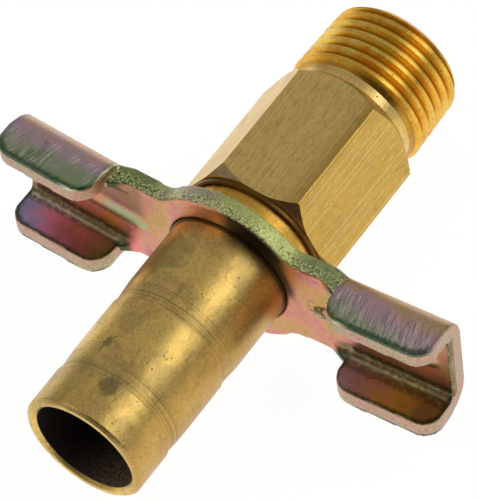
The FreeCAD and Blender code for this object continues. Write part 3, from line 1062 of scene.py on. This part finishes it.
@dataclass
class HexBody:
    """Hexagon bar turned at both ends, with a tapered pipe thread."""

    columns: int = 160
    across_flats: float = 22.0
    turn_deg: float = -5.8
    edge_rounding: float = 0.3
    bar_overhang: float = 2.0
    lip_r: float = 10.9
    mouth_r: float = 10.4
    mouth_y: float = -37.85
    hex_near: float = -37.15
    hex_far: float = -14.0
    near_chamfer_r: float = 11.15
    far_chamfer_r: float = 10.15
    blank_r: float = 13.7
    relief_r: float = 9.7
    relief_start: float = -17.6
    relief_y: float = -12.3
    inlet_r: float = 5.5
    inlet_chamfer: float = 0.5
    seat_end: float = -11.95
    seat_start: float = -14.55
    seal_bore_r: float = 8.1
    screw_bore_r: float = 8.588
    screw_end: float = -27.0
    mouth_floor: float = -35.6
    thread: Thread = Thread(
        start=-11.6, end=0.0, crest_r=10.45, pitch=1.814, height=0.85, floor_r=9.7,
        taper=1.0 / 16.0, end_chamfer=0.9)

    def section(self) -> tuple[list[Corner], list[Corner]]:
        """Section of the turned blank.

        Returns:
            Its corners up to the thread and from the thread's end.
        """
        near_rise = self.blank_r - self.near_chamfer_r
        far_rise = self.blank_r - self.far_chamfer_r
        outside = [
            Corner(self.mouth_r, self.mouth_y, 0.1),
            Corner(self.lip_r, self.mouth_y, 0.15),
            Corner(self.lip_r, self.hex_near),
            Corner(self.near_chamfer_r, self.hex_near, 0.08),
            Corner(self.blank_r, self.hex_near + near_rise),
            Corner(self.blank_r, self.hex_far - far_rise),
            Corner(self.far_chamfer_r, self.hex_far, 0.12),
            Corner(self.relief_r, self.hex_far),
            Corner(self.relief_r, self.relief_y, 0.2),
        ]
        inside = [
            Corner(self.inlet_r + self.inlet_chamfer, 0.0),
            Corner(self.inlet_r, -self.inlet_chamfer),
            Corner(self.inlet_r, self.seat_end),
            Corner(self.seal_bore_r, self.seat_start),
            Corner(self.seal_bore_r, self.screw_end),
            Corner(self.screw_bore_r, self.screw_end),
            Corner(self.screw_bore_r, self.mouth_floor),
            Corner(self.mouth_r, self.mouth_floor),
        ]
        return outside, inside

    def hexagon(self) -> Object:
        """Hexagon bar with softened edges, a little longer than the body.

        Returns:
            The bar.
        """
        length = (self.bar_overhang - self.mouth_y) * MM
        corner_r = self.across_flats / 2.0 / math.cos(math.pi / HEX_SIDES)
        Bench.clear()
        bpy.ops.mesh.primitive_cylinder_add(
            vertices=HEX_SIDES, radius=corner_r * MM, depth=2.0 * length)
        bar = bpy.context.object
        turn = math.radians(self.turn_deg) - math.pi / HEX_SIDES
        for vertex in bar.data.vertices:
            angle = math.atan2(vertex.co.y, vertex.co.x) + turn
            reach = math.hypot(vertex.co.x, vertex.co.y)
            vertex.co = Vector((reach * math.cos(angle), vertex.co.z, reach * math.sin(angle)))
        Bench.edit(
            lambda: bpy.ops.mesh.normals_make_consistent(inside=False),
            lambda: bpy.ops.mesh.select_mode(type="EDGE"),
            lambda: bpy.ops.mesh.select_all(action="DESELECT"))
        for edge in bar.data.edges:
            first, second = (bar.data.vertices[number].co for number in edge.vertices)
            edge.select = abs(first.y - second.y) > length
        bpy.ops.object.mode_set(mode="EDIT")
        bpy.ops.mesh.bevel(offset=self.edge_rounding * MM, segments=3, affect="EDGES")
        bpy.ops.object.mode_set(mode="OBJECT")
        return bar

    def build(self) -> None:
        """Turns the blank with its thread and mills the hexagon."""
        piece = self.thread.turn("hex_body_finished", *self.section(), self.columns)
        Bench.boolean(piece, self.hexagon(), "INTERSECT")
        finishes = (DRAWN_BRASS, THREAD_BRASS, BORE_OXIDE, LIT_RELIEF_BRASS, SHADED_CHAMFER_BRASS)
        Bench.dress(piece, finishes, self.finish_at)
        Bench.smooth(piece)
        Bench.settle(piece, Node.HEX_BODY)

    def finish_at(self, place: Vector, normal: Vector) -> Finish:
        """Finish of a face.

        Args:
            place: The face's middle, in millimetres.
            normal: Its normal.

        Returns:
            Drawn brass for a flat, oxide for a bore, a paler copy as painted highlight on the
            relief, a darker copy as painted shade on the near chamfer, and turned brass for the
            rest.
        """
        reach, outward = radial(place, normal)
        if abs(normal.y) < 0.02 and reach > 0.995 * self.across_flats / 2.0:
            return DRAWN_BRASS
        is_bore = outward < -0.5
        by_relief = not is_bore and self.relief_start < place.y < self.relief_y
        if by_relief and (reach < self.far_chamfer_r or normal.y > 0.3):
            return LIT_RELIEF_BRASS
        if normal.y < -0.3 and reach > self.near_chamfer_r:
            return SHADED_CHAMFER_BRASS
        return BORE_OXIDE if is_bore else THREAD_BRASS


@dataclass
class HoseStem:
    """Hollow screw stem that ends in the hose nozzle."""

    columns: int = 192
    mouth_y: float = -79.65
    mouth_chamfer: float = 0.5
    barb_r: float = 9.56
    waist_r: float = 9.28
    root_r: float = 9.6
    end_shoulder: float = -72.65
    middle_shoulder: float = -59.50
    waist_taper: float = 4.0
    taper_rounding: float = 20.0
    back_y: float = -41.2
    seat_r: float = 9.75
    neck_r: float = 10.2
    neck_end: float = -36.0
    journal_r: float = 8.0
    journal_end: float = -20.0
    groove_r: float = 6.7
    groove_start: float = -23.2
    groove_end: float = -20.8
    head_r: float = 6.6
    cone_start: float = -13.2
    tip_r: float = 5.7
    tip_y: float = -12.3
    bore_r: float = 5.0
    bore_point: float = -14.9
    bore_end: float = -17.904
    step_end: float = -40.44
    step_start: float = -42.2
    outlet_r: float = 7.93
    port_r: float = 3.0
    port_y: float = -16.6
    thread: Thread = Thread(
        start=-36.0, end=-27.0, crest_r=8.5, pitch=1.5, height=0.8, floor_r=8.0)

    def section(self) -> tuple[list[Corner], list[Corner]]:
        """Section of the stem.

        Returns:
            Its corners up to the thread and from the thread's end.
        """
        end_taper = self.end_shoulder + self.waist_taper
        middle_taper = self.middle_shoulder + self.waist_taper
        outside = [
            Corner(self.outlet_r, self.mouth_y + self.mouth_chamfer, 0.3),
            Corner(self.outlet_r + self.mouth_chamfer, self.mouth_y, 0.15),
            Corner(self.barb_r - self.mouth_chamfer, self.mouth_y, 0.15),
            Corner(self.barb_r, self.mouth_y + self.mouth_chamfer, 0.3),
            Corner(self.barb_r, self.end_shoulder, 0.06),
            Corner(self.waist_r, self.end_shoulder),
            Corner(self.barb_r, end_taper, self.taper_rounding),
            Corner(self.barb_r, self.middle_shoulder, 0.06),
            Corner(self.waist_r, self.middle_shoulder),
            Corner(self.root_r, middle_taper, self.taper_rounding),
            Corner(self.root_r, SHEET_FRONT),
            Corner(self.seat_r, SHEET_FRONT),
            Corner(self.seat_r, self.back_y),
            Corner(self.neck_r, self.back_y),
            Corner(self.neck_r, self.neck_end, 0.2),
        ]
        inside = [
            Corner(self.journal_r, self.thread.end),
            Corner(self.journal_r, self.groove_start),
            Corner(self.groove_r, self.groove_start),
            Corner(self.groove_r, self.groove_end),
            Corner(self.journal_r, self.groove_end),
            Corner(self.journal_r, self.journal_end),
            Corner(self.head_r, self.journal_end),
            Corner(self.head_r, self.cone_start),
            Corner(self.tip_r, self.tip_y),
            Corner(0.0, self.tip_y),
            Corner(0.0, self.bore_point),
            Corner(self.bore_r, self.bore_end),
            Corner(self.bore_r, self.step_end),
            Corner(self.outlet_r, self.step_start),
        ]
        return outside, inside

    def port(self) -> Object:
        """Drill for the cross port, longer than the stem is wide.

        Returns:
            The drill.
        """
        Bench.clear()
        bpy.ops.mesh.primitive_cylinder_add(
            vertices=48, radius=self.port_r * MM, depth=4.0 * self.head_r * MM,
            location=(0, self.port_y * MM, 0), rotation=(0, math.pi / 2.0, 0))
        bpy.ops.object.transform_apply(location=True, rotation=True, scale=True)
        return bpy.context.object

    def build(self) -> None:
        """Turns the stem with its screw and drills the port."""
        piece = self.thread.turn("hose_stem_finished", *self.section(), self.columns)
        Bench.boolean(piece, self.port(), "DIFFERENCE")
        Bench.dress(piece, (TUBE_BRASS, NECK_BRASS, BORE_OXIDE), self.finish_at)
        Bench.smooth(piece)
        Bench.settle(piece, Node.HOSE_STEM)

    def finish_at(self, place: Vector, normal: Vector) -> Finish:
        """Finish of a face.

        Args:
            place: The face's middle, in millimetres.
            normal: Its normal.

        Returns:
            Oxide for the bore, and brass for the neck or the tube.
        """
        reach, outward = radial(place, normal)
        if reach < self.outlet_r + 0.05 and outward < 0.1:
            return BORE_OXIDE
        return NECK_BRASS if place.y > SHEET_FRONT else TUBE_BRASS


@dataclass
class WingHandle:
    """Stamped handle: a ring with two arms that end in channel-shaped wings."""

    mesh_size: float = 0.25
    rounding_steps: int = 6
    bead_start: float = 15.6
    bead_end: float = 33.0
    bead_half_width: float = 1.6
    bead_height: float = 0.5
    bead_fullness: float = 0.7
    bead_margin: float = 0.1
    wing_start: float = 19.3
    free_edge_y: float = -46.0
    rolled_z: float = 9.4
    fold_z: float = 6.5
    web_end: float = 36.0
    end_shade: float = 0.9

    def build(self) -> None:
        """Softens the edges of the folded sheet."""
        Bench.clear()
        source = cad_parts["wing_handle"]
        piece = source.copy()
        piece.data = source.data.copy()
        piece.name = "wing_handle_finished"
        for key in list(piece.keys()):
            del piece[key]
        piece.parent = None
        bpy.context.collection.objects.link(piece)
        Bench.activate(piece)
        piece.data.materials.clear()
        Bench.edit(lambda: bpy.ops.mesh.remove_doubles(threshold=MERGE_DISTANCE))
        Bench.modify(piece, "REMESH", mode="VOXEL", voxel_size=self.mesh_size * MM)
        self.press_bead(piece)
        Bench.modify(piece, "SMOOTH", factor=0.5, iterations=self.rounding_steps)
        finishes = (PLATE_FRONT, PLATE_OUTSIDE, PLATE_SHEARED, PLATE_EDGE)
        Bench.dress(piece, finishes, self.finish_at)
        bpy.ops.object.shade_smooth()
        Bench.settle(piece, Node.WING_HANDLE)

    def press_bead(self, piece: Object) -> None:
        """Spreads the foot of each wing's bead, as a press leaves it.

        Args:
            piece: The handle's mesh.
        """
        for vertex in piece.data.vertices:
            x, y, z = vertex.co / MM
            front = SHEET_FRONT + max(abs(x) - LEAN_START, 0.0) * LEAN
            past_end = max(self.bead_start - abs(x), abs(x) - self.bead_end, 0.0)
            reach = math.hypot(z, past_end) / self.bead_half_width
            above, below = front - self.bead_height - self.bead_margin, front + self.bead_margin
            if reach < 1.0 and above < y < below:
                rise = (0.5 + 0.5 * math.cos(math.pi * reach)) ** self.bead_fullness
                vertex.co.y = min(y, front - self.bead_height * rise) * MM

    def finish_at(self, place: Vector, normal: Vector) -> Finish:
        """Finish of a face.

        Args:
            place: The face's middle, in millimetres.
            normal: Its normal.

        Returns:
            The film of the front, the outside, the ring's and arms' edge or a wing's edge.
        """
        if abs(place.x) < self.wing_start:
            if normal.x * place.x + normal.z * place.z > 0.0 and abs(normal.y) < 0.75:
                return PLATE_SHEARED
            return PLATE_FRONT if normal.y < 0 else PLATE_OUTSIDE
        outward = normal.z * math.copysign(1.0, place.z)
        in_flange = abs(place.z) > self.fold_z
        is_end = abs(normal.x) > 0.6 and (in_flange or abs(place.x) > self.web_end)
        is_free_edge = normal.y < -0.6 and place.y < self.free_edge_y
        if is_end or is_free_edge:
            if abs(place.z) > self.rolled_z:
                return PLATE_OUTSIDE
            behind = place.y - SHEET_FRONT - (abs(place.x) - LEAN_START) * LEAN
            is_shaded = not in_flange and behind < self.end_shade
            return PLATE_FRONT if is_shaded else PLATE_EDGE
        is_outside = normal.y > 0.3 or (in_flange and outward > 0.3)
        return PLATE_OUTSIDE if is_outside else PLATE_FRONT


@dataclass
class StemSeal:
    """Sealing ring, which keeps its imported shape."""

    def dress(self) -> None:
        """Gives the ring its rubber."""
        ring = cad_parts["stem_seal"]
        ring.data.materials.clear()
        ring.data.materials.append(SEAL_BLACK.material())
        LOG.info("stem_seal: dressed")


@dataclass(frozen=True)
class Softbox:
    """Square lamp that faces the part, in metres and watts."""

    name: str
    direction: Triple
    distance: float
    size: float
    power: float

    def hang(self, target: Vector) -> None:
        """Adds the lamp.

        Args:
            target: The point that it faces.
        """
        lamp = bpy.data.lights.new(self.name, "AREA")
        lamp.size = self.size
        lamp.energy = self.power
        holder = bpy.data.objects.new(self.name, lamp)
        arm = Vector(self.direction).normalized() * self.distance
        holder.location = target + arm
        holder.rotation_euler = (-arm).to_track_quat("-Z", "Y").to_euler()
        bpy.context.collection.objects.link(holder)


@dataclass
class Studio:
    """Pale floor, soft light and the camera, in metres."""

    azimuth_deg: float = 41.69
    elevation_deg: float = 53.34
    roll_deg: float = -9.18
    distance: float = 0.58039
    target: Triple = (-0.00051, -0.04076, 0.0)
    lens: float = 296.24
    clip_start: float = 0.01
    floor_size: float = 8.0
    floor_grey: float = 0.9
    floor_glow: float = 1.12
    glow_share: float = 0.85
    sky: float = 0.36
    shade: float = 0.03
    shade_direction: Triple = (0.4, -0.7, 0.58)
    shade_angles: tuple[float, float] = (28.0, 44.0)
    boxes: tuple[Softbox, ...] = (
        Softbox("key_box", (0.617, 0.446, 0.648), 0.9, 0.45, 0.95),
        Softbox("fill_box", (-0.45, -0.42, 0.79), 1.2, 0.5, 0.9))

    def build(self, floor_z: float) -> None:
        """Sets the stage.

        Args:
            floor_z: Height of the floor.
        """
        self.add_floor(floor_z)
        self.add_sky()
        for box in self.boxes:
            box.hang(Vector(self.target))
        self.add_camera()

    def add_floor(self, floor_z: float) -> None:
        """White floor that shows white to the camera and in metal, and keeps a soft shadow.

        Args:
            floor_z: Its height.
        """
        Bench.clear()
        bpy.ops.mesh.primitive_plane_add(size=self.floor_size, location=(0, 0, 0))
        floor = bpy.context.object
        floor.name = "floor"
        for vertex in floor.data.vertices:
            vertex.co.z = floor_z
        paint = Paint("floor_white")
        paint.set(Base_Color=(self.floor_grey,) * 3, Roughness=0.9, Specular_IOR_Level=0.0)
        seen = sum(paint.add("ShaderNodeLightPath", output=name) for name in (
            "Is Camera Ray", "Is Glossy Ray", "Is Transmission Ray"))
        glow = paint.add("ShaderNodeEmission", inputs={"Color": WHITE, "Strength": self.floor_glow})
        surface = Value(paint, paint.shader.outputs[0])
        mixed = paint.add("ShaderNodeMixShader", inputs={
            0: seen * self.glow_share, 1: surface, 2: glow})
        paint.feed(paint.tree.nodes["Material Output"].inputs["Surface"], mixed)
        floor.data.materials.append(paint.material)
        floor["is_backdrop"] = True

    def add_sky(self) -> None:
        """Plain grey sky with a dark patch behind the camera."""
        world = bpy.data.worlds.new("sky")
        world.use_nodes = True
        recipe = Recipe(world.node_tree)
        toward = recipe.add("ShaderNodeTexCoord", output="Generated")
        inputs = {0: toward, 1: tuple(Vector(self.shade_direction).normalized())}
        near = recipe.add("ShaderNodeVectorMath", {"operation": "DOT_PRODUCT"}, inputs, "Value")
        inner, outer = (math.cos(math.radians(angle)) for angle in self.shade_angles)
        background = world.node_tree.nodes["Background"]
        recipe.feed(background.inputs["Color"], WHITE)
        strength = self.sky + near.between(outer, inner) * (self.shade - self.sky)
        recipe.feed(background.inputs["Strength"], strength)
        bpy.context.scene.world = world

    def add_camera(self) -> None:
        """Camera at the photograph's angle."""
        azimuth, elevation = math.radians(self.azimuth_deg), math.radians(self.elevation_deg)
        flat = math.cos(elevation)
        forward = Vector((
            -math.sin(azimuth) * flat, math.cos(azimuth) * flat, -math.sin(elevation)))
        data = bpy.data.cameras.new("camera")
        data.lens = self.lens
        data.clip_start = self.clip_start
        camera = bpy.data.objects.new("camera", data)
        roll = Quaternion((0, 0, 1), math.radians(self.roll_deg))
        camera.location = Vector(self.target) - forward * self.distance
        camera.rotation_euler = (forward.to_track_quat("-Z", "Y") @ roll).to_euler()
        bpy.context.collection.objects.link(camera)
        bpy.context.scene.camera = camera


def main() -> None:
    """Builds and dresses every piece."""
    logging.basicConfig(level=logging.INFO, format="%(name)s: %(message)s")
    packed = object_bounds()
    HexBody().build()
    HoseStem().build()
    WingHandle().build()
    StemSeal().dress()
    Studio().build(packed[0][2])
    bpy.context.scene.view_settings.view_transform = "Standard"


if __name__ == "__main__":
    main()
